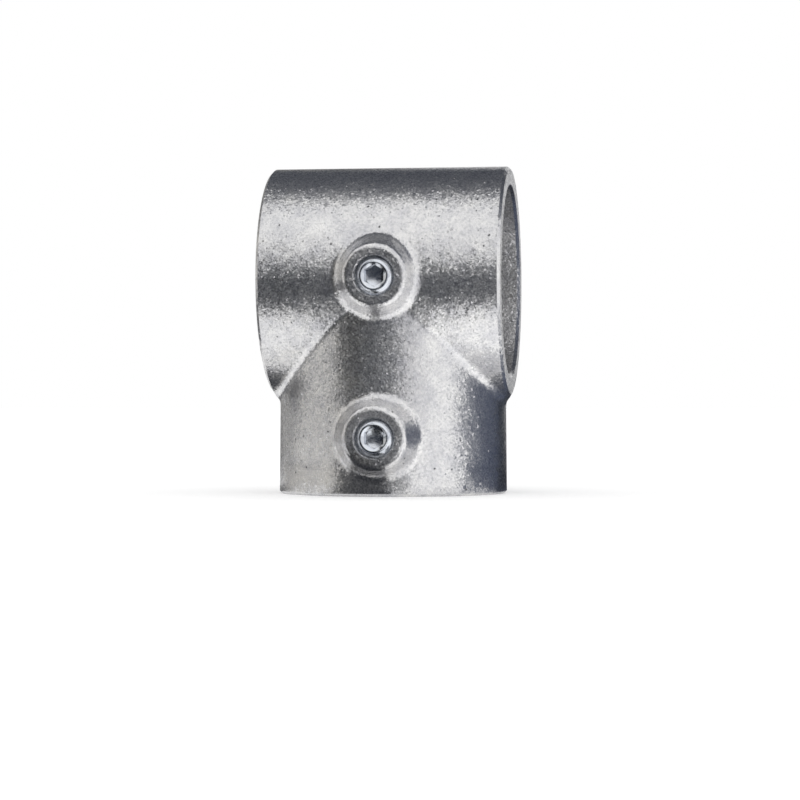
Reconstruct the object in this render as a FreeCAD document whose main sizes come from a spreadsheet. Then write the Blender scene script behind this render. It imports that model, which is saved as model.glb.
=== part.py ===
"""Tube clamp tee fitting: one iron casting and two set screws, in millimetres.

The casting is two short barrels of the same bore that cross at a right angle.
The rail passes right through the upper barrel, along X, and the upright is
held in the socket below it, which opens downwards along Z. Each barrel has a
raised round boss on its front (-Y) with a tapped hole, and a set screw in it
that bears on the tube. The origin is where the axes of the two tubes cross.
"""
import FreeCAD, Part
import os
import sys

from FreeCAD import Placement, Rotation, Vector
import Sketcher

doc = FreeCAD.newDocument("TubeClampTee")

# ---------------------------------------------------------------- sizes
# Each row is a name, its value and what it measures.
SIZES = (
    ("tube_diameter", 48.3, "outside diameter of the tube that the fitting holds"),
    ("tube_clearance", 1.2, "how much wider the bores are than the tube"),
    ("wall", 5.5, "thickness of the cast wall"),
    ("barrel_overhang", 1.25, "how far each barrel end stands out past the socket"),
    ("socket_reach", 25.95, "from the underside of the barrel to the socket's mouth"),
    ("socket_draft", 0.4, "how much the socket narrows from its mouth to the axis"),
    ("stop_gap", 2.5, "metal left between the rail's bore and the upright's end"),
    ("stop_width", 3.2, "how far the stop stands in from the wall of the socket"),
    ("stop_chamfer", 0.8, "chamfer on the lip of the stop"),
    ("inside_round", 2.8, "cast rounding in every inside corner"),
    ("trim_allowance", 12.0, "metal beyond each barrel end, cut off after rounding"),
    ("boss_rise", 4.4, "height of a boss above the crown of its barrel"),
    ("boss_radius", 8.05, "radius of a boss at its face"),
    ("boss_taper", 0.47, "what a boss gains in radius for each mm of depth"),
    ("boss_round", 1.8, "rounding on the rim of a boss"),
    ("mouth_to_screw", 15.0, "from the socket's mouth up to the axis of its screw"),
    ("end_chamfer", 0.7, "broken edge on the outer rims of the three openings"),
    ("lead_in", 0.8, "chamfer that leads a tube into a bore"),
    ("tapped_lead_in", 0.4, "chamfer at the mouth of a tapped hole"),
    ("screw_diameter", 10.0, "outside diameter of the thread"),
    ("thread_clearance", 0.05, "gap around a set screw in its hole"),
    ("screw_proud", 0.3, "how far a set screw stands out of its boss"),
    ("tip_setback", 0.2, "how far its tip stays inside the wall of the bore"),
    ("screw_end_chamfer", 1.2, "chamfer where the thread starts"),
    ("key_width", 5.0, "across the flats of the hexagon socket"),
    ("key_depth", 4.0, "depth of the hexagon socket"),
    ("key_lead_in", 0.8, "width of the countersink around the hexagon"),
    ("cup_radius", 2.5, "radius of the biting edge on the tip"),
    ("cup_depth", 1.2, "depth of the hollow behind that edge"),
)
sheet = doc.addObject("Spreadsheet::Sheet", "Sizes")
for row, (alias, value, meaning) in enumerate(SIZES, start=1):
    sheet.set("A%d" % row, meaning)
    sheet.set("B%d" % row, str(value))
    sheet.setAlias("B%d" % row, alias)
doc.recompute()


class Size:
    """A number together with the expression that gives it from the sheet."""

    def __init__(self, value, text):
        self.value, self.text = float(value), text

    def _join(self, other, sign, turned=False):
        if not isinstance(other, Size):
            other = Size(other, repr(other))
        a, b = (other, self) if turned else (self, other)
        value = {"+": a.value + b.value, "-": a.value - b.value,
                 "*": a.value * b.value, "/": a.value / (b.value or 1.0)}[sign]
        return Size(value, "(%s %s %s)" % (a.text, sign, b.text))

    def __add__(self, other):
        return self._join(other, "+")

    def __sub__(self, other):
        return self._join(other, "-")

    def __mul__(self, other):
        return self._join(other, "*")

    def __truediv__(self, other):
        return self._join(other, "/")

    def __rmul__(self, other):
        return self._join(other, "*", True)

    def __neg__(self):
        return Size(-self.value, "(-1 * %s)" % self.text)


def cell(alias):
    return Size(sheet.get(alias), "Sizes." + alias)


# What follows from the cells.
bore_radius = (cell("tube_diameter") + cell("tube_clearance")) / 2
barrel_radius = bore_radius + cell("wall")
half_length = barrel_radius + cell("barrel_overhang")
socket_depth = barrel_radius + cell("socket_reach")
screw_drop = socket_depth - cell("mouth_to_screw")
boss_face = barrel_radius + cell("boss_rise")
stop_level = bore_radius + cell("stop_gap")
stop_radius = bore_radius - cell("stop_width")
screw_radius = cell("screw_diameter") / 2
tapped_radius = screw_radius + cell("thread_clearance")
screw_face = boss_face + cell("screw_proud")
screw_length = screw_face - bore_radius - cell("tip_setback")
key_inradius = cell("key_width") / 2


# -------------------------------------------------------------- helpers
def bind(thing, prop, size):
    """Tie one property to the sheet."""
    thing.setExpression(prop, size.text)


def origin_plane(body, role):
    return [f for f in body.Origin.OriginFeatures if f.Role == role][0]


def new_sketch(body, name, role):
    sketch = body.newObject("Sketcher::SketchObject", name)
    sketch.AttachmentSupport = [(origin_plane(body, role), "")]
    sketch.MapMode = "FlatFace"
    return sketch


def hold(sketch, geo, pos, x, y):
    """Fix a point of the sketch by its two distances from the origin."""
    for kind, axis, size in (("DistanceX", -2, x), ("DistanceY", -1, y)):
        if isinstance(size, Size):
            index = sketch.addConstraint(
                Sketcher.Constraint(kind, -1, 1, geo, pos, size.value))
            sketch.setExpression("Constraints[%d]" % index, size.text)
        else:
            sketch.addConstraint(Sketcher.Constraint("PointOnObject", geo, pos, axis))


def outline(sketch, points):
    """Draw a closed outline. Each corner is (x, y), a Size or 0 on the axis."""
    number = [tuple(p.value if isinstance(p, Size) else 0.0 for p in point)
              for point in points]
    first = sketch.GeometryCount
    for i, start in enumerate(number):
        end = number[(i + 1) % len(number)]
        sketch.addGeometry(Part.LineSegment(Vector(*start, 0), Vector(*end, 0)), False)
    for i, (x, y) in enumerate(points):
        sketch.addConstraint(Sketcher.Constraint(
            "Coincident", first + (i - 1) % len(points), 2, first + i, 1))
        hold(sketch, first + i, 1, x, y)


def circle(sketch, x, y, radius):
    """Draw a circle with its centre at (x, y), each a Size or 0."""
    centre = Vector(*(v.value if isinstance(v, Size) else 0.0 for v in (x, y)), 0)
    geo = sketch.addGeometry(Part.Circle(centre, Vector(0, 0, 1), radius.value), False)
    index = sketch.addConstraint(Sketcher.Constraint("Radius", geo, radius.value))
    sketch.setExpression("Constraints[%d]" % index, radius.text)
    hold(sketch, geo, 3, x, y)


def finish(feature, sketch=None):
    if sketch is not None:
        sketch.Visibility = False
    doc.recompute()
    if "Invalid" in feature.State or "Error" in feature.State:
        sys.exit("%s failed: %s" % (feature.Name, feature.State))
    return feature


def revolve(body, name, sketch, axis, cut=False):
    kind = "PartDesign::Groove" if cut else "PartDesign::Revolution"
    feature = body.newObject(kind, name)
    feature.Profile = sketch
    feature.ReferenceAxis = (sketch, [axis])
    feature.Angle = 360.0
    return finish(feature, sketch)


def edges_where(shape, test):
    return ["Edge%d" % i for i, e in enumerate(shape.Edges, start=1) if test(e)]


def dress(body, kind, name, test, prop, size):
    """Fillet or chamfer the edges of the body that pass the test."""
    base = body.Tip
    names = edges_where(base.Shape, test)
    if not names:
        sys.exit("%s found no edge" % name)
    feature = body.newObject("PartDesign::" + kind, name)
    feature.Base = (base, names)
    bind(feature, prop, size)
    return finish(feature)


def removed(before, after, what):
    """A cut that points away from the metal removes nothing and shows no error."""
    if before.Volume - after.Volume < 1.0:
        sys.exit("%s cut nothing" % what)


# -------------------------------------------------------------- casting
casting = doc.addObject("PartDesign::Body", "casting")

# The barrel starts longer than it ends, so that the rounding of its corners
# with the socket can run out past the ends.
sketch = new_sketch(casting, "barrel_section", "YZ_Plane")
circle(sketch, 0, 0, barrel_radius)
barrel = casting.newObject("PartDesign::Pad", "barrel")
barrel.Profile = sketch
barrel.SideType = "Symmetric"
bind(barrel, "Length", 2 * (half_length + cell("trim_allowance")))
finish(barrel, sketch)

# The socket is as wide as the barrel at its mouth and a little less above.
sketch = new_sketch(casting, "socket_section", "XZ_Plane")
outline(sketch, [(0, 0), (barrel_radius - cell("socket_draft"), 0),
                 (barrel_radius, -socket_depth), (0, -socket_depth)])
revolve(casting, "socket", sketch, "V_Axis")

# Two tapered bosses, each rooted in the wall down to the bore.
for name, drop in (("rail_boss", 0), ("upright_boss", screw_drop)):
    root = cell("boss_radius") + cell("boss_taper") * (boss_face - bore_radius)
    sketch = new_sketch(casting, name + "_section", "YZ_Plane")
    outline(sketch, [(-boss_face, 0), (-boss_face, cell("boss_radius")),
                     (-bore_radius, root), (-bore_radius, 0)])
    if drop:
        bind(sketch, "AttachmentOffset.Base.y", -drop)
    revolve(casting, name, sketch, "H_Axis")


def boss_rim(edge):
    box = edge.BoundBox
    return abs(box.YMin + boss_face.value) < 1e-3 and abs(box.YMax + boss_face.value) < 1e-3


dress(casting, "Fillet", "boss_rims", boss_rim, "Radius", cell("boss_round"))


def inside_corner(edge):
    """True where two round walls that point different ways meet."""
    walls = [f.Surface for f in casting.Tip.Shape.ancestorsOfType(edge, Part.Face)]
    if len(walls) != 2 or any(isinstance(w, Part.Plane) for w in walls):
        return False
    return abs(walls[0].Axis.dot(walls[1].Axis)) < 0.5


# One cast rounding runs along both creases between barrel and socket and
# around the roots of both bosses, and blends where they meet.
dress(casting, "Fillet", "cast_rounding", inside_corner, "Radius", cell("inside_round"))

# The barrel ends are faced off square.
before = casting.Tip.Shape
sketch = new_sketch(casting, "end_facing", "XZ_Plane")
far = half_length + 2 * cell("trim_allowance")
tall = barrel_radius + 2 * cell("inside_round")
outline(sketch, [(half_length, tall), (half_length, -tall), (far, -tall), (far, tall)])
outline(sketch, [(-half_length, tall), (-far, tall), (-far, -tall), (-half_length, -tall)])
facing = casting.newObject("PartDesign::Pocket", "barrel_ends")
facing.Profile = sketch
facing.SideType = "Symmetric"
facing.Type = "ThroughAll"
finish(facing, sketch)
removed(before, facing.Shape, "facing the barrel ends")


def outer_rim(edge):
    """True on the outer edge of the two barrel ends and of the socket's mouth."""
    box = edge.BoundBox
    on_end = box.XLength < 1e-3 and abs(abs(box.XMin) - half_length.value) < 1e-3
    on_mouth = box.ZLength < 1e-3 and abs(box.ZMin + socket_depth.value) < 1e-3
    return on_end or on_mouth


dress(casting, "Chamfer", "outer_rims", outer_rim, "Size", cell("end_chamfer"))

# The rail's bore goes right through.
before = casting.Tip.Shape
sketch = new_sketch(casting, "rail_bore_section", "YZ_Plane")
circle(sketch, 0, 0, bore_radius)
rail_bore = casting.newObject("PartDesign::Pocket", "rail_bore")
rail_bore.Profile = sketch
rail_bore.SideType = "Symmetric"
rail_bore.Type = "ThroughAll"
finish(rail_bore, sketch)
removed(before, rail_bore.Shape, "the rail's bore")

# The upright's bore ends at a stop, so that the upright can't foul the rail.
# Above the stop a narrower opening runs on into the rail's bore.
before = casting.Tip.Shape
sketch = new_sketch(casting, "socket_bore_section", "XZ_Plane")
outline(sketch, [(0, 0), (stop_radius, 0), (stop_radius, -stop_level),
                 (bore_radius, -stop_level), (bore_radius, -socket_depth),
                 (0, -socket_depth)])
socket_bore = revolve(casting, "socket_bore", sketch, "V_Axis", cut=True)
removed(before, socket_bore.Shape, "the socket's bore")

# Both tapped holes are drilled from the faces of the bosses into the bores.
before = casting.Tip.Shape
sketch = new_sketch(casting, "tapped_hole_centres", "XZ_Plane")
circle(sketch, 0, 0, tapped_radius)
circle(sketch, 0, -screw_drop, tapped_radius)
bind(sketch, "AttachmentOffset.Base.z", boss_face)
tapped = casting.newObject("PartDesign::Pocket", "tapped_holes")
tapped.Profile = sketch
bind(tapped, "Length", boss_face - bore_radius + tapped_radius)
finish(tapped, sketch)
removed(before, tapped.Shape, "the tapped holes")


def on_circle(edge, radius):
    if edge.Degenerated:
        return False
    curve = edge.Curve
    return isinstance(curve, Part.Circle) and abs(curve.Radius - radius.value) < 1e-3


def bore_mouth(edge):
    return on_circle(edge, bore_radius) and outer_rim(edge)


def tapped_mouth(edge):
    return on_circle(edge, tapped_radius) and boss_rim(edge)


def stop_lip(edge):
    box = edge.BoundBox
    return on_circle(edge, stop_radius) and abs(box.ZMax + stop_level.value) < 1e-3


dress(casting, "Chamfer", "tube_lead_ins", bore_mouth, "Size", cell("lead_in"))
dress(casting, "Chamfer", "tapped_lead_ins", tapped_mouth, "Size", cell("tapped_lead_in"))
dress(casting, "Chamfer", "stop_lip", stop_lip, "Size", cell("stop_chamfer"))


# ----------------------------------------------------------- set screws
def set_screw(label, drop):
    """A hexagon socket set screw with a cup point, its end face at y = 0 of its
    own frame and its tip towards +Y."""
    body = doc.addObject("PartDesign::Body", label)
    tip = screw_length
    chamfered = screw_radius - cell("screw_end_chamfer")
    cone = screw_radius - cell("cup_radius")
    sketch = new_sketch(body, label + "_section", "XY_Plane")
    outline(sketch, [
        (0, cell("key_depth") + key_inradius / 2),
        (key_inradius, cell("key_depth")),
        (key_inradius, cell("key_lead_in") / 2),
        (key_inradius + cell("key_lead_in"), 0),
        (chamfered, 0),
        (screw_radius, cell("screw_end_chamfer")),
        (screw_radius, tip - cone),
        (cell("cup_radius"), tip),
        (0, tip - cell("cup_depth")),
    ])
    revolve(body, label + "_blank", sketch, "V_Axis")

    # The hexagon has two corners in line with the upright.
    before = body.Tip.Shape
    sketch = new_sketch(body, label + "_hexagon", "XZ_Plane")
    corner = key_inradius * (2 / 3 ** 0.5)
    half = corner / 2
    outline(sketch, [(0, corner), (key_inradius, half), (key_inradius, -half),
                     (0, -corner), (-key_inradius, -half), (-key_inradius, half)])
    key = body.newObject("PartDesign::Pocket", label + "_key")
    key.Profile = sketch
    bind(key, "Length", cell("key_depth"))
    finish(key, sketch)
    removed(before, key.Shape, "the hexagon socket")

    body.Placement = Placement(Vector(0, 0, 0), Rotation())
    bind(body, "Placement.Base.y", -screw_face)
    if drop:
        bind(body, "Placement.Base.z", -drop)
    return body


rail_set_screw = set_screw("rail_set_screw", 0)
upright_set_screw = set_screw("upright_set_screw", screw_drop)

# --------------------------------------------------------------- output
doc.recompute()
for thing in doc.Objects:
    if "Invalid" in thing.State or "Error" in thing.State:
        sys.exit("%s is not valid: %s" % (thing.Label, thing.State))

os.makedirs("parts", exist_ok=True)
for body in (casting, rail_set_screw, upright_set_screw):
    shape = body.Shape
    if shape.isNull() or not shape.isValid() or len(shape.Solids) != 1:
        sys.exit("%s has no single valid solid" % body.Label)
    shape.exportStep(os.path.join("parts", body.Label + ".step"))
    box = shape.BoundBox
    print("%-18s %8.1f mm3  x %.2f..%.2f  y %.2f..%.2f  z %.2f..%.2f" % (
        body.Label, shape.Volume, box.XMin, box.XMax, box.YMin, box.YMax,
        box.ZMin, box.ZMax))
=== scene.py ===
# %% [markdown]
# # A cast tube clamp tee, dressed for the camera
# The fitting is one galvanised iron casting with two raised bosses, and a set screw in
# each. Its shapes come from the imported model. They could be modelled again here with finer
# detail, but then the picture and the simulation would soon differ. So this lesson gives
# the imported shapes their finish, cuts real threads on the screws, and lights them as a
# product photographer would.

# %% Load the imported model
import math

import bmesh
import bpy
from mathutils import Matrix, Vector


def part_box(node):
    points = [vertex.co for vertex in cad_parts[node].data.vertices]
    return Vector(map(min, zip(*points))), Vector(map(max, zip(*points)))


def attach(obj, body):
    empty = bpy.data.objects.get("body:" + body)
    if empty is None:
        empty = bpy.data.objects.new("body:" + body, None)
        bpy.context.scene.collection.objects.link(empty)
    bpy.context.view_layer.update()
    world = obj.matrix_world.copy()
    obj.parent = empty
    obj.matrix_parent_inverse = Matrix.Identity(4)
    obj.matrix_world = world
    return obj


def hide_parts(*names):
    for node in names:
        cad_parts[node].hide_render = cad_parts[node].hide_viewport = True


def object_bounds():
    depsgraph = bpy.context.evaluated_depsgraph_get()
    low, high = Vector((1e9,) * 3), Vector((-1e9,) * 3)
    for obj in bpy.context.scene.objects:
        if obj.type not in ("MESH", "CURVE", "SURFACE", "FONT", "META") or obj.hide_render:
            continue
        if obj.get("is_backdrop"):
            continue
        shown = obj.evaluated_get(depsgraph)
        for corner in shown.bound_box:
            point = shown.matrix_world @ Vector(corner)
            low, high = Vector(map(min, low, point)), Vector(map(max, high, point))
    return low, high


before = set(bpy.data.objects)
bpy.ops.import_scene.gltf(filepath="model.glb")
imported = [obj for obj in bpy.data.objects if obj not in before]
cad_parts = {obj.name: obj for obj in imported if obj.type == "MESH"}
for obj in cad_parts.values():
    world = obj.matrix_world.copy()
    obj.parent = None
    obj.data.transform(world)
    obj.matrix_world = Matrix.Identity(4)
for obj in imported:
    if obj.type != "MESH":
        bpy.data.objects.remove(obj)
cad_low, cad_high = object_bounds()
MM = 0.001                   # the frame is in metres
print("pieces:", sorted(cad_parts), "height in mm:", round((cad_high - cad_low).z / MM, 1))


# %% [markdown]
# ## Two helpers for materials
# A material is a tree of nodes. Adding one takes a line for the node, one for each setting
# and one for each link. A function for each kind of node would hide what is in the tree, so
# one small function adds any node, with its settings and links. Colours are written as hex
# codes, as on a paint chart. Blender shades with linear light, so a second function turns
# the one into the other.

# %% Colours and nodes
def colour(code):
    """Turns an sRGB hex code to the linear colour that Blender shades with."""
    parts = [int(code[i:i + 2], 16) / 255 for i in (1, 3, 5)]
    return (*[p / 12.92 if p <= 0.04045 else ((p + 0.055) / 1.055) ** 2.4 for p in parts], 1.0)


def add(tree, kind, settings=(), links=()):
    """Adds a node. A setting names a property or an input, and a link gives an input its
    source: an output, or a node that stands for its first output."""
    node = tree.nodes.new(kind)
    for name, value in dict(settings).items():
        if isinstance(name, str) and hasattr(node, name):
            setattr(node, name, value)
        else:
            node.inputs[name].default_value = value
    for name, source in dict(links).items():
        tree.links.new(getattr(source, "outputs", [source])[0], node.inputs[name])
    return node


def new_material(name):
    material = bpy.data.materials.new(name)
    material.use_nodes = True
    material.node_tree.nodes.clear()
    return material, material.node_tree


def dress(piece, material):
    piece.data.materials.clear()
    piece.data.materials.append(material)
    print(piece.name, "is finished in", material.name)


print("mid grey is", [round(part, 3) for part in colour("#808080")], "in linear light")

# %% [markdown]
# ## Hot-dip galvanised cast iron
# The casting was poured in sand and then dipped in molten zinc. To the eye that is a pale,
# nearly neutral metal. The zinc ran and rippled while it was liquid, the sand's grain
# shows through it, and here and there is a pit from a gas bubble. Zinc freezes in
# crystals, and each one lies a little askew: most mirror the same thing as their
# neighbours, and a few catch the light.
#
# A photograph of zinc would repeat and has its own light in it, and a single noise bump
# looks like orange peel. Here four heights are stacked, each with its real size in
# millimetres, and then each crystal's face is turned as a whole. Real crystals are nearer
# 0.2 mm, too fine to show, so they are drawn twice as coarse.

# %% Patterns in the zinc
galvanised, tree = new_material("hot_dip_galvanised_cast_iron")
place = add(tree, "ShaderNodeTexCoord").outputs["Object"]

# Runs of zinc, the ripples on them, the sand's grain, and duller and brighter patches.
waves = add(tree, "ShaderNodeTexNoise", {"Scale": 1 / (6.0 * MM)}, {"Vector": place})
ripples = add(tree, "ShaderNodeTexNoise", {"Scale": 1 / (2.2 * MM), "Distortion": 0.6},
              {"Vector": place})
grain = add(tree, "ShaderNodeTexNoise", {"Scale": 1 / (0.55 * MM)}, {"Vector": place})
clouds = add(tree, "ShaderNodeTexNoise", {"Scale": 1 / (5.0 * MM), "Detail": 5.0,
                                          "Roughness": 0.75}, {"Vector": place})
small_crystals, large_crystals = [
    add(tree, "ShaderNodeTexVoronoi", {"Scale": 1 / (size_mm * MM)},
        {"Vector": place}).outputs["Color"] for size_mm in (0.40, 0.70)]
print("patterns on the casting:", len(tree.nodes), "nodes")

# %% Pits from gas bubbles
PIT_CELL = 3.4 * MM          # one place for a pit in each cell of this size
PIT_R = 0.11                 # a pit's radius in cells, which makes it 0.37 mm
PIT_FLAT = PIT_R / 4         # and that of its flat bottom
PIT_SHARE = 0.5              # of the cells, as many as have one

cells = add(tree, "ShaderNodeTexVoronoi", {"Scale": 1 / PIT_CELL}, {"Vector": place})
hollow = add(tree, "ShaderNodeMapRange",
             {"interpolation_type": "SMOOTHSTEP", "From Min": PIT_R, "From Max": PIT_FLAT},
             {"Value": cells.outputs["Distance"]})
lot = add(tree, "ShaderNodeSeparateColor", {}, {"Color": cells.outputs["Color"]})
chosen = add(tree, "ShaderNodeMath", {"operation": "LESS_THAN", 1: PIT_SHARE}, {0: lot})
pits = add(tree, "ShaderNodeMath", {"operation": "MULTIPLY"}, {0: hollow, 1: chosen})
print("pits of", round(PIT_CELL * PIT_R / MM, 2), "mm in radius")

# %% The zinc's relief
MIDDLE = (0.5, 0.5, 0.5)     # the crystal colour that means no lean
EVERY, RARE = 0.5, 8.0       # how much of its lean each crystal gets, and what a few add

relief = {}
for height, rise_mm in ((waves, 0.12), (ripples, 0.07), (grain, 0.055), (pits, -0.14)):
    relief["Height"] = height
    normal = add(tree, "ShaderNodeBump", {"Strength": 1.0, "Distance": rise_mm * MM}, relief)
    relief["Normal"] = normal

for crystals, lean in ((small_crystals, 0.08), (large_crystals, 0.055)):
    way = add(tree, "ShaderNodeVectorMath", {"operation": "SUBTRACT", 1: MIDDLE}, {0: crystals})
    square = add(tree, "ShaderNodeVectorMath", {"operation": "DOT_PRODUCT"}, {0: way, 1: way})
    fourth_power = add(tree, "ShaderNodeMath", {"operation": "POWER", 1: 2.0},
                       {0: square.outputs["Value"]})
    much = add(tree, "ShaderNodeMath", {"operation": "MULTIPLY_ADD", 1: RARE * lean,
                                        2: EVERY * lean}, {0: fourth_power})
    askew = add(tree, "ShaderNodeVectorMath", {"operation": "SCALE"}, {0: way, "Scale": much})
    turned = add(tree, "ShaderNodeVectorMath", {"operation": "ADD"}, {0: normal, 1: askew})
    normal = add(tree, "ShaderNodeVectorMath", {"operation": "NORMALIZE"}, {0: turned})
print("with its relief:", len(tree.nodes), "nodes")

# %% The zinc's colour
# A Mix node of colours takes its share at one input and its two colours at two others.
SHARE, UNDER, OVER, MIXED = 0, 6, 7, 2

patchy = add(tree, "ShaderNodeMapRange", {"From Min": 0.3, "From Max": 0.7}, {"Value": clouds})
etched = add(tree, "ShaderNodeSeparateColor", {}, {"Color": small_crystals}).outputs["Green"]
dulled = add(tree, "ShaderNodeMapRange", {"From Min": 0.55, "From Max": 1.0, "To Max": 0.4},
             {"Value": etched})
skin = add(tree, "ShaderNodeMix",
           {"data_type": "RGBA", UNDER: colour("#cfcfd3"), OVER: colour("#f3f2f0")},
           {SHARE: patchy}).outputs[MIXED]
for share, shade in ((dulled, "#a9abb0"), (pits, "#5a5a5c")):
    skin = add(tree, "ShaderNodeMix", {"data_type": "RGBA", OVER: colour(shade)},
               {SHARE: share, UNDER: skin}).outputs[MIXED]
print("with its colours:", len(tree.nodes), "nodes")

# %% The zinc's gloss
# Zinc has a bright mirror under a haze, and the more a crystal is etched the more haze.
bright, hazy = [add(tree, "ShaderNodeBsdfPrincipled", {"Metallic": 1.0, "Roughness": roughness},
                    {"Base Color": skin, "Normal": normal}) for roughness in (0.22, 0.37)]
haze = add(tree, "ShaderNodeMapRange", {"From Min": 0.3, "From Max": 1.0, "To Min": 0.3,
                                        "To Max": 0.95}, {"Value": etched})
metal = add(tree, "ShaderNodeMixShader", {}, {0: haze, 1: bright, 2: hazy})
add(tree, "ShaderNodeOutputMaterial", {}, {"Surface": metal})
dress(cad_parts["casting"], galvanised)

# %% [markdown]
# ## Bright zinc plated steel
# The set screws were rolled from steel wire and plated with a few thousandths of a
# millimetre of zinc. That is smoother and bluer than the dipped casting, and it mirrors
# the tent in clean rings. One plain glossy metal would pass for chrome, so a faint mottle
# varies its gloss and its tint, and a relief of 0.006 mm breaks up the sharpest edges.

# %% Zinc plated steel
plated, tree = new_material("bright_zinc_plated_steel")
place = add(tree, "ShaderNodeTexCoord").outputs["Object"]
mottle = add(tree, "ShaderNodeTexNoise", {"Scale": 1 / (0.9 * MM), "Detail": 3.0},
             {"Vector": place})
gloss = add(tree, "ShaderNodeMapRange", {"From Min": 0.3, "From Max": 0.7, "To Min": 0.15,
                                         "To Max": 0.27}, {"Value": mottle})
tint = add(tree, "ShaderNodeMix",
           {"data_type": "RGBA", UNDER: colour("#d6dce6"), OVER: colour("#e7e9ec")},
           {SHARE: mottle}).outputs[MIXED]
wire = add(tree, "ShaderNodeBump", {"Strength": 1.0, "Distance": 0.006 * MM}, {"Height": mottle})
metal = add(tree, "ShaderNodeBsdfPrincipled", {"Metallic": 1.0},
            {"Base Color": tint, "Roughness": gloss, "Normal": wire})
add(tree, "ShaderNodeOutputMaterial", {}, {"Surface": metal})
print(plated.name, "has", len(tree.nodes), "nodes")

# %% [markdown]
# ## Set screws
# Each packed screw is a plain blank with a hexagon socket, because a thread's many small
# faces slow a CAD model down. A bump would leave the thread's outline smooth, so it is cut
# here in the mesh. The blank is one profile spun about its axis, with the ring of points
# at the socket pushed out to a hexagon. The thread is a ridge spun on as a helix, sliced
# flush with both ends and kept inside the chamfers there, as on a real screw that was
# chamfered before its thread was rolled.

# %% Sizes of a set screw
SCREW_R = 5.0 * MM
CORE_R = 4.17 * MM
PITCH = 1.5 * MM
FACE_R = 3.8 * MM            # the flat ring of the end face ends here
FACE_ROUND = 0.38 * MM
KEY_R = 2.5 * MM             # half of the hexagon's width across flats
KEY_DEEP = 4.0 * MM
KEY_MOUTH = 3.3 * MM         # outer radius of the countersink
TIP_R = 2.5 * MM
CUP_DEEP = 1.2 * MM          # the hollow at the tip, whose edge bites
EDGE_ROUND = 0.08 * MM
STEPS = 48                   # around one turn, a multiple of six for the hexagon


def new_piece(name, mesh):
    data = bpy.data.meshes.new(name)
    mesh.to_mesh(data)
    mesh.free()
    piece = bpy.data.objects.new(name, data)
    bpy.context.scene.collection.objects.link(piece)
    return piece


def spin(mesh, points, turns, steps, advance=0.0, closed=False):
    """Spins a profile of (radius, depth) points about the Y axis, from straight up."""
    verts = [mesh.verts.new((0, depth, radius)) for radius, depth in points]
    pairs = list(zip(verts, verts[1:])) + ([(verts[-1], verts[0])] if closed else [])
    edges = [mesh.edges.new(pair) for pair in pairs]
    bmesh.ops.spin(mesh, geom=verts + edges, cent=(0, 0, 0), axis=(0, 1, 0),
                   dvec=(0, advance, 0), angle=math.tau * turns, steps=steps,
                   use_merge=advance == 0.0)


print("a screw of", round(2 * SCREW_R / MM), "mm with a pitch of", round(PITCH / MM, 2), "mm")

# %% [markdown]
# ### The thread
# A rolled thread has flanks at 60 degrees and a narrow flat crest, and it fades out in the
# chamfers. Slicing it along the chamfers too would leave slivers, so each flank has a few
# points up its height, and they are pressed in to just under the blank's own chamfer. The
# pressed ridge keeps a little of its thickness, so that no two of its points meet.

# %% Thread
CREST = PITCH / 16           # half of the ridge's width at its crest
ROOT = 0.59 * MM             # and at its foot
SUNK = 0.05 * MM             # how deep its foot is inside the core
INSET = 0.02 * MM            # how far it stays under the blank's end faces
UNDER_CHAMFER = 0.004 * MM   # and under the chamfers
PRESSED = 0.05               # the share of its thickness that is left there
FLANK_STEPS = 5


def screw_thread(mesh, length, start_deg):
    """Winds the ridge past both ends, slices it there and presses it into the chamfers."""
    low, high = CORE_R - SUNK, SCREW_R - INSET
    shares = [i / FLANK_STEPS for i in range(FLANK_STEPS + 1)]
    flank = [(low + (high - low) * share, CREST + (ROOT - CREST) * (1 - share))
             for share in shares]
    section = flank + [(radius, -side) for radius, side in reversed(flank)]
    turns = (length + 2 * PITCH) / PITCH
    spin(mesh, [(radius, side - PITCH) for radius, side in section], turns,
         int(turns * STEPS), PITCH / STEPS, closed=True)
    for depth, way in ((INSET, -1), (length - INSET, 1)):
        bmesh.ops.bisect_plane(mesh, geom=mesh.verts[:] + mesh.edges[:] + mesh.faces[:],
                               plane_co=(0, depth, 0), plane_no=(0, way, 0), clear_outer=True)
    bmesh.ops.holes_fill(mesh, edges=[e for e in mesh.edges if e.is_boundary], sides=0)
    for vert in mesh.verts:
        radius = math.hypot(vert.co.x, vert.co.z)
        room = min(FACE_R + vert.co.y, TIP_R + length - vert.co.y) - UNDER_CHAMFER
        fit = min(1.0, (room - PRESSED * (high - radius)) / radius)
        vert.co = (vert.co.x * fit, vert.co.y, vert.co.z * fit)
    bmesh.ops.rotate(mesh, verts=mesh.verts, cent=(0, 0, 0),
                     matrix=Matrix.Rotation(math.radians(start_deg), 3, "Y"))
    print("thread of", round(turns - 2, 1), "turns")


print("the ridge is", round(2 * ROOT / MM, 2), "mm wide at its foot")

# %% [markdown]
# ### The blank
# The blank is turned, and its key socket is drilled, countersunk and punched to a hexagon.
# Cutting a hexagonal hole with a boolean would leave stray edges, so the profile goes in
# one line from the bottom of the socket out over the end face, down the core and into the
# cup at the tip. The spin leaves the socket's wall round. Each point of it is then moved
# out to the side of the hexagon, and its countersunk edge drops lower at the corners, as
# it does on a real socket.

# %% Blank with its hexagon socket
NEAR = 0.001 * MM            # points this close are the same
JUST_INSIDE = 0.999          # keeps the rim of the drilled bottom apart from the wall


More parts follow.
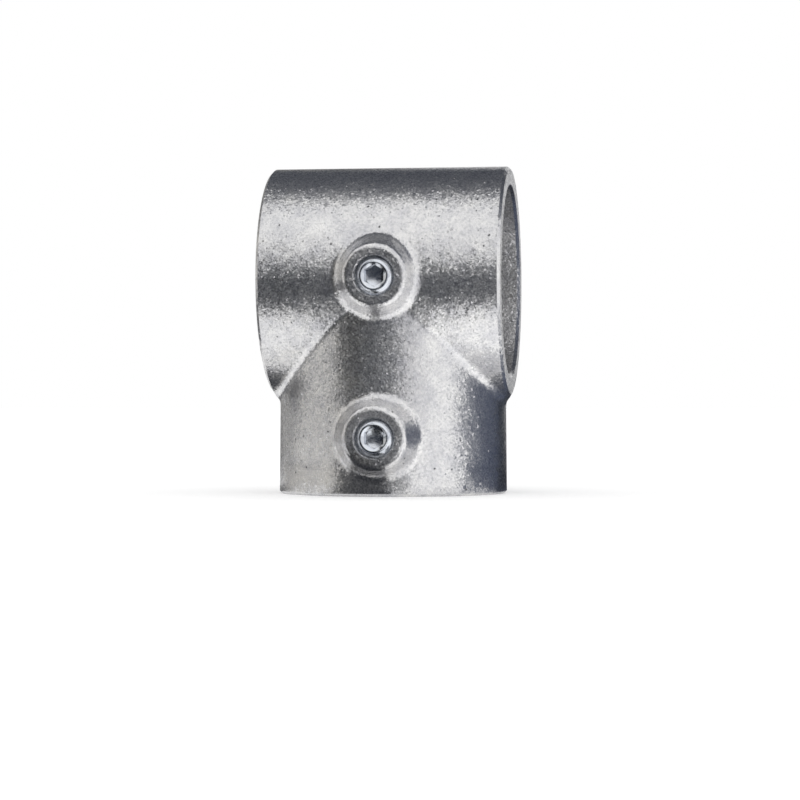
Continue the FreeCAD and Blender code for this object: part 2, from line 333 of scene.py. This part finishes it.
def screw_blank(mesh, length):
    """Spins the blank, closes its two poles and pushes the socket out to a hexagon."""
    countersink = (KEY_MOUTH - KEY_R) / 2
    spin(mesh, [(0, KEY_DEEP + KEY_R / 2), (KEY_R * JUST_INSIDE, KEY_DEEP), (KEY_R, KEY_DEEP),
                (KEY_R, countersink), (KEY_MOUTH, 0), (FACE_R, 0),
                (CORE_R, CORE_R - FACE_R), (CORE_R, length + TIP_R - CORE_R),
                (TIP_R, length), (0, length - CUP_DEEP)], 1, STEPS)
    poles = [v for v in mesh.verts if math.hypot(v.co.x, v.co.z) < NEAR]
    bmesh.ops.remove_doubles(mesh, verts=poles, dist=NEAR)
    for vert in mesh.verts:
        radius = math.hypot(vert.co.x, vert.co.z)
        if abs(radius - KEY_R) < NEAR and vert.co.y < KEY_DEEP + NEAR:
            from_corner = math.atan2(vert.co.x, vert.co.z) % math.radians(60)
            side = KEY_R / math.cos(from_corner - math.radians(30))
            vert.co.x *= side / radius
            vert.co.z *= side / radius
            if vert.co.y < KEY_DEEP / 2:
                vert.co.y = (KEY_MOUTH - side) / 2


def bevel_rings(mesh, rings, width, segments):
    """Rounds the circles that run through the given (radius, depth) points."""
    def on_ring(vert):
        radius = math.hypot(vert.co.x, vert.co.z)
        return any(abs(radius - r) + abs(vert.co.y - d) < 5 * NEAR for r, d in rings)
    edges = [e for e in mesh.edges if all(on_ring(v) for v in e.verts)]
    bmesh.ops.bevel(mesh, geom=edges, offset=width, segments=segments, profile=0.5,
                    affect="EDGES", material=-1)
    print("rounded", len(edges), "edges by", round(width / MM, 2), "mm")


print("the hexagon measures", round(4 * KEY_R / math.sqrt(3) / MM, 2), "mm over its corners")

# %% [markdown]
# ### Both screws
# The two screws are the same, one above the other. One mesh could serve both, but a
# finished piece stays at the origin, so each gets its own, placed in its points. Each one
# replaces its packed blank, which stays in the simulation, and rides on that blank's body,
# so it moves when the screw is driven.

# %% Make the screws
THREAD_START = 200           # degrees from straight up
SHARP = math.radians(30)     # edges that turn more than this stay sharp

for name in ("rail_set_screw", "upright_set_screw"):
    low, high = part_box(name)
    length = high.y - low.y
    mesh = bmesh.new()
    screw_thread(mesh, length, THREAD_START)
    screw_blank(mesh, length)
    bevel_rings(mesh, [(FACE_R, 0)], FACE_ROUND, segments=5)
    bevel_rings(mesh, [(KEY_MOUTH, 0), (TIP_R, length)], EDGE_ROUND, segments=2)
    bmesh.ops.translate(mesh, verts=mesh.verts, vec=(0, low.y, (low.z + high.z) / 2))
    bmesh.ops.recalc_face_normals(mesh, faces=mesh.faces)
    threaded = new_piece("threaded_" + name, mesh)
    for face in threaded.data.polygons:
        face.use_smooth = True
    threaded.data.set_sharp_from_angle(angle=SHARP)
    dress(threaded, plated)
    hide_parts(name)
    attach(threaded, name)
    print(threaded.name, "has", len(threaded.data.polygons), "faces")

# %% [markdown]
# ## White tent and paper floor
# Metal has no shade of its own: it shows what stands round it. Lamps would show in it as
# small hard spots, so the fitting stands in a white tent, which here is a white world, on
# a sheet of white paper. The paper takes the fitting's shadow. Where the camera or a
# reflection looks at it, it is lifted a little, as paper lit from below is, so that the
# picture's background is white.

# %% Tent
world = bpy.data.worlds.new("white_tent")
bpy.context.scene.world = world
world.use_nodes = True
tent_light = world.node_tree.nodes["Background"]
tent_light.inputs["Color"].default_value = colour("#ffffff")
tent_light.inputs["Strength"].default_value = 1.0
print("the tent's strength is", tent_light.inputs["Strength"].default_value)

# %% Paper floor
FLOOR_Z = cad_low.z
FLOOR_HALF = 6.0             # m, half of the sheet's side
PAPER_LIFT = 0.20            # what brings lit paper up to the tent's white

mesh = bmesh.new()
bmesh.ops.create_grid(mesh, x_segments=1, y_segments=1, size=FLOOR_HALF,
                      matrix=Matrix.Translation((0, 0, FLOOR_Z)))
floor = new_piece("studio_floor", mesh)
paper, tree = new_material("white_paper")
light = add(tree, "ShaderNodeLightPath")
seen = add(tree, "ShaderNodeMath", {"operation": "ADD"},
           {0: light.outputs["Is Camera Ray"], 1: light.outputs["Is Glossy Ray"]})
seen = add(tree, "ShaderNodeMath", {"operation": "ADD"},
           {0: seen, 1: light.outputs["Is Transmission Ray"]})
lift = add(tree, "ShaderNodeMath", {"operation": "MULTIPLY", 1: PAPER_LIFT}, {0: seen})
diffuse = add(tree, "ShaderNodeBsdfDiffuse", {"Color": colour("#f4f4f4")})
glow = add(tree, "ShaderNodeEmission", {"Color": colour("#ffffff")}, {"Strength": lift})
both = add(tree, "ShaderNodeAddShader", {}, {0: diffuse, 1: glow})
add(tree, "ShaderNodeOutputMaterial", {}, {"Surface": both})
dress(floor, paper)
floor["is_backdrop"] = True

# %% [markdown]
# ## Flags and cards
# All white, the casting would look like plaster. Bands could be painted into its colour,
# but they would stay where they are when it turns. A photographer hangs black flags and
# white or grey cards in the tent instead, and each one draws a band on the metal. The
# lying barrel bends what is in front of it into flat bands, and the upright socket into
# standing ones, so the flags' heights shape the barrel and their turns shape the socket.
# Low cards close to the fitting show only near its foot and in its creases.
#
# Each card is a profile of distance and height, swept round the fitting. Turns are in
# degrees from the side that faces the camera, positive to the camera's right. Cards glow
# only for reflections: they light nothing, cast no shadow and aren't seen directly.

# %% How a card is hung
CAMERA_PLACE = Vector((94.4, -643.0, -31.5)) * MM
CAMERA_LOOK = Vector((-0.1426, 0.9898, 0.0))
CAMERA_HEADING = math.degrees(math.atan2(-CAMERA_LOOK.x, CAMERA_LOOK.y))
TENT = 3.0                   # m, how far off its wall is
GROUND = FLOOR_Z + 0.5 * MM  # where a card lies on the paper
CARD_STEPS = 24


def card(name, shade, turn, *profile, strength=1.0):
    """Hangs a bent card from one turn to another. Its profile is in (distance, height)."""
    mesh = bmesh.new()
    start = math.radians(CAMERA_HEADING + turn[0] - 90)
    points = [mesh.verts.new((r * math.cos(start), r * math.sin(start), z)) for r, z in profile]
    edges = [mesh.edges.new(pair) for pair in zip(points, points[1:])]
    bmesh.ops.spin(mesh, geom=points + edges, cent=(0, 0, 0), axis=(0, 0, 1),
                   angle=math.radians(turn[1] - turn[0]), steps=CARD_STEPS, use_merge=False)
    piece = new_piece(name, mesh)
    cloth, tree = new_material(name + "_cloth")
    glow = add(tree, "ShaderNodeEmission", {"Color": colour(shade), "Strength": strength})
    add(tree, "ShaderNodeOutputMaterial", {}, {"Surface": glow})
    dress(piece, cloth)
    piece.visible_camera = piece.visible_diffuse = piece.visible_shadow = False
    piece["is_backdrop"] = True


def on_floor(distance_mm):
    """The point of a profile that lies on the paper at this distance."""
    return (distance_mm * MM, GROUND)


def at(distance_mm, height_mm):
    """A point of a profile close by. Heights are from the barrel's axis."""
    return (distance_mm * MM, height_mm * MM)


def up(distance, degrees):
    """A point of a profile far off, in m, that is seen at this angle above level."""
    return (distance, distance * math.tan(math.radians(degrees)))


FAR = (TENT, GROUND)
print("the camera stands", round(CAMERA_HEADING, 1), "degrees round from the front")

# %% [markdown]
# ### Around the tent
# The front flags draw the barrel's dark middle band and the dark stripe between the
# bosses, and the grey veils beside and above them soften its edges. The right flags shade
# the socket's right side, the left cards tone its left side down, and the roof flag draws
# the dark line along the top of the barrel.

# %% Far flags
card("front_flag", "#3a3d44", (-17, 8), on_floor(119), FAR, up(TENT, 12.5))
card("front_middle_flag", "#383b42", (-30, -17), on_floor(120), FAR, up(TENT, 16))
card("front_left_flag", "#0c0d10", (-57, -30), on_floor(120), FAR, up(TENT, 36))
card("front_veil", "#c4c4c8", (-30, -19), up(TENT, 16), up(TENT, 30))
card("front_right_veil", "#cfcfd3", (8, 20), on_floor(119), FAR, up(TENT, 14))
card("near_right_veil", "#e8e8ea", (20, 33), on_floor(119), FAR, up(TENT, 20))
card("right_flag", "#4c5365", (70, 80), on_floor(125), FAR, up(TENT, 65))
card("far_right_flag", "#4c5365", (80, 128), on_floor(36), FAR, up(TENT, 65))
card("right_back_flag", "#2c2e33", (128, 157), on_floor(36), FAR, up(TENT, 65))
card("left_card", "#dad8d4", (-118, -57), FAR, up(TENT, 40))
card("left_back_card", "#949390", (-180, -118), FAR, up(TENT, 40))
card("roof_flag", "#484b53", (100, 260), up(1.3, 88), up(1.6, 50), up(TENT, 25))
card("roof_left_flag", "#34373e", (260, 282), up(0.62, 86), up(1.0, 72))

# %% [markdown]
# ### On the floor
# The barrel's underside mirrors the floor close by. White cards there keep it bright and
# draw the light line in the right crease. Dark ones shade the two corners under the
# barrel's ends.

# %% Floor cards
card("near_card", "#ffffff", (-6, 72), on_floor(42), on_floor(113), strength=1.2)
card("near_left_card", "#ffffff", (-62, -26), on_floor(45), on_floor(108), strength=1.08)
card("boss_flag", "#17191c", (-24, -7), on_floor(45), on_floor(119))
card("crease_flag", "#d8d8da", (20, 60), on_floor(30), on_floor(42))
card("left_flag", "#5c5c5e", (-155, -57), on_floor(130), on_floor(700))
card("left_corner_flag", "#32343a", (205, 283), on_floor(20), on_floor(55))
card("right_corner_flag", "#85878e", (45, 110), on_floor(18), on_floor(31))
card("low_corner_flag", "#3c3f48", (68, 118), on_floor(31), on_floor(45))
card("ground_flag", "#3b3d43", (157, 205), on_floor(20), FAR)

# %% [markdown]
# ### Low cards at the foot
# In use the fitting is high above the ground, so its bands carry on down to the socket's
# mouth. Here the white paper would light up the last few millimetres. Lifting the fitting
# off the paper would cost it its shadow, so a low fence of cards round the foot, too low
# for the barrel to see, carries each band on. The flag under the lower boss darkens its
# flat face, and a bright strip farther out lights the barrel's near rim.

# %% Fence
FENCE = at(44, -48.5)
card("low_front_flag", "#2a2c31", (-38, -1), on_floor(31), on_floor(44), FENCE)
card("low_boss_flag", "#0c0d10", (-24, -9), FENCE, at(44, -44))
card("low_front_card", "#6a6c70", (-1, 9), on_floor(44), FENCE)
card("low_right_flag", "#4c5365", (52, 92), on_floor(45), at(45, -50))
card("low_back_flag", "#2c2e33", (92, 120), on_floor(45), at(45, -50))
card("low_left_card", "#bcbab6", (-100, -38), on_floor(45), at(45, -50))
card("left_crease_flag", "#5c5c5e", (-115, -84), at(70, -32), at(70, -12))
card("rim_card", "#ffffff", (48, 78), at(68, -20), at(68, 36))

# %% [markdown]
# ## Camera
# The camera's place could be matched by eye. Here it was worked out from the outlines in
# the photograph: the rims' widths give how far it is turned, and how much nearer parts look
# larger gives its distance, about 0.65 m. It stands a little lower than the barrel and
# looks level, so uprights stay upright. At that distance, a 110 mm lens on a 36 mm sensor
# gives the photograph's frame.

# %% Camera
LENS_MM = 109.6
SENSOR_MM = 36.0

camera = bpy.data.objects.new("camera", bpy.data.cameras.new("camera"))
bpy.context.scene.collection.objects.link(camera)
camera.location = CAMERA_PLACE
camera.rotation_mode = "QUATERNION"
camera.rotation_quaternion = CAMERA_LOOK.to_track_quat("-Z", "Y")
camera.data.sensor_width = SENSOR_MM
camera.data.lens = LENS_MM
bpy.context.scene.camera = camera
bpy.context.scene.view_settings.view_transform = "Standard"
print("camera", round(CAMERA_PLACE.length / MM), "mm from the barrel's centre")

# %% [markdown]
# ## The size
# The dressed fitting has to keep the imported model's size. A render wouldn't show a small
# slip, so its size is printed, as the imported model's height was at the start.

# %% Sizes and the end
low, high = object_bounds()
print("size in mm:", [round(side / MM, 2) for side in high - low])
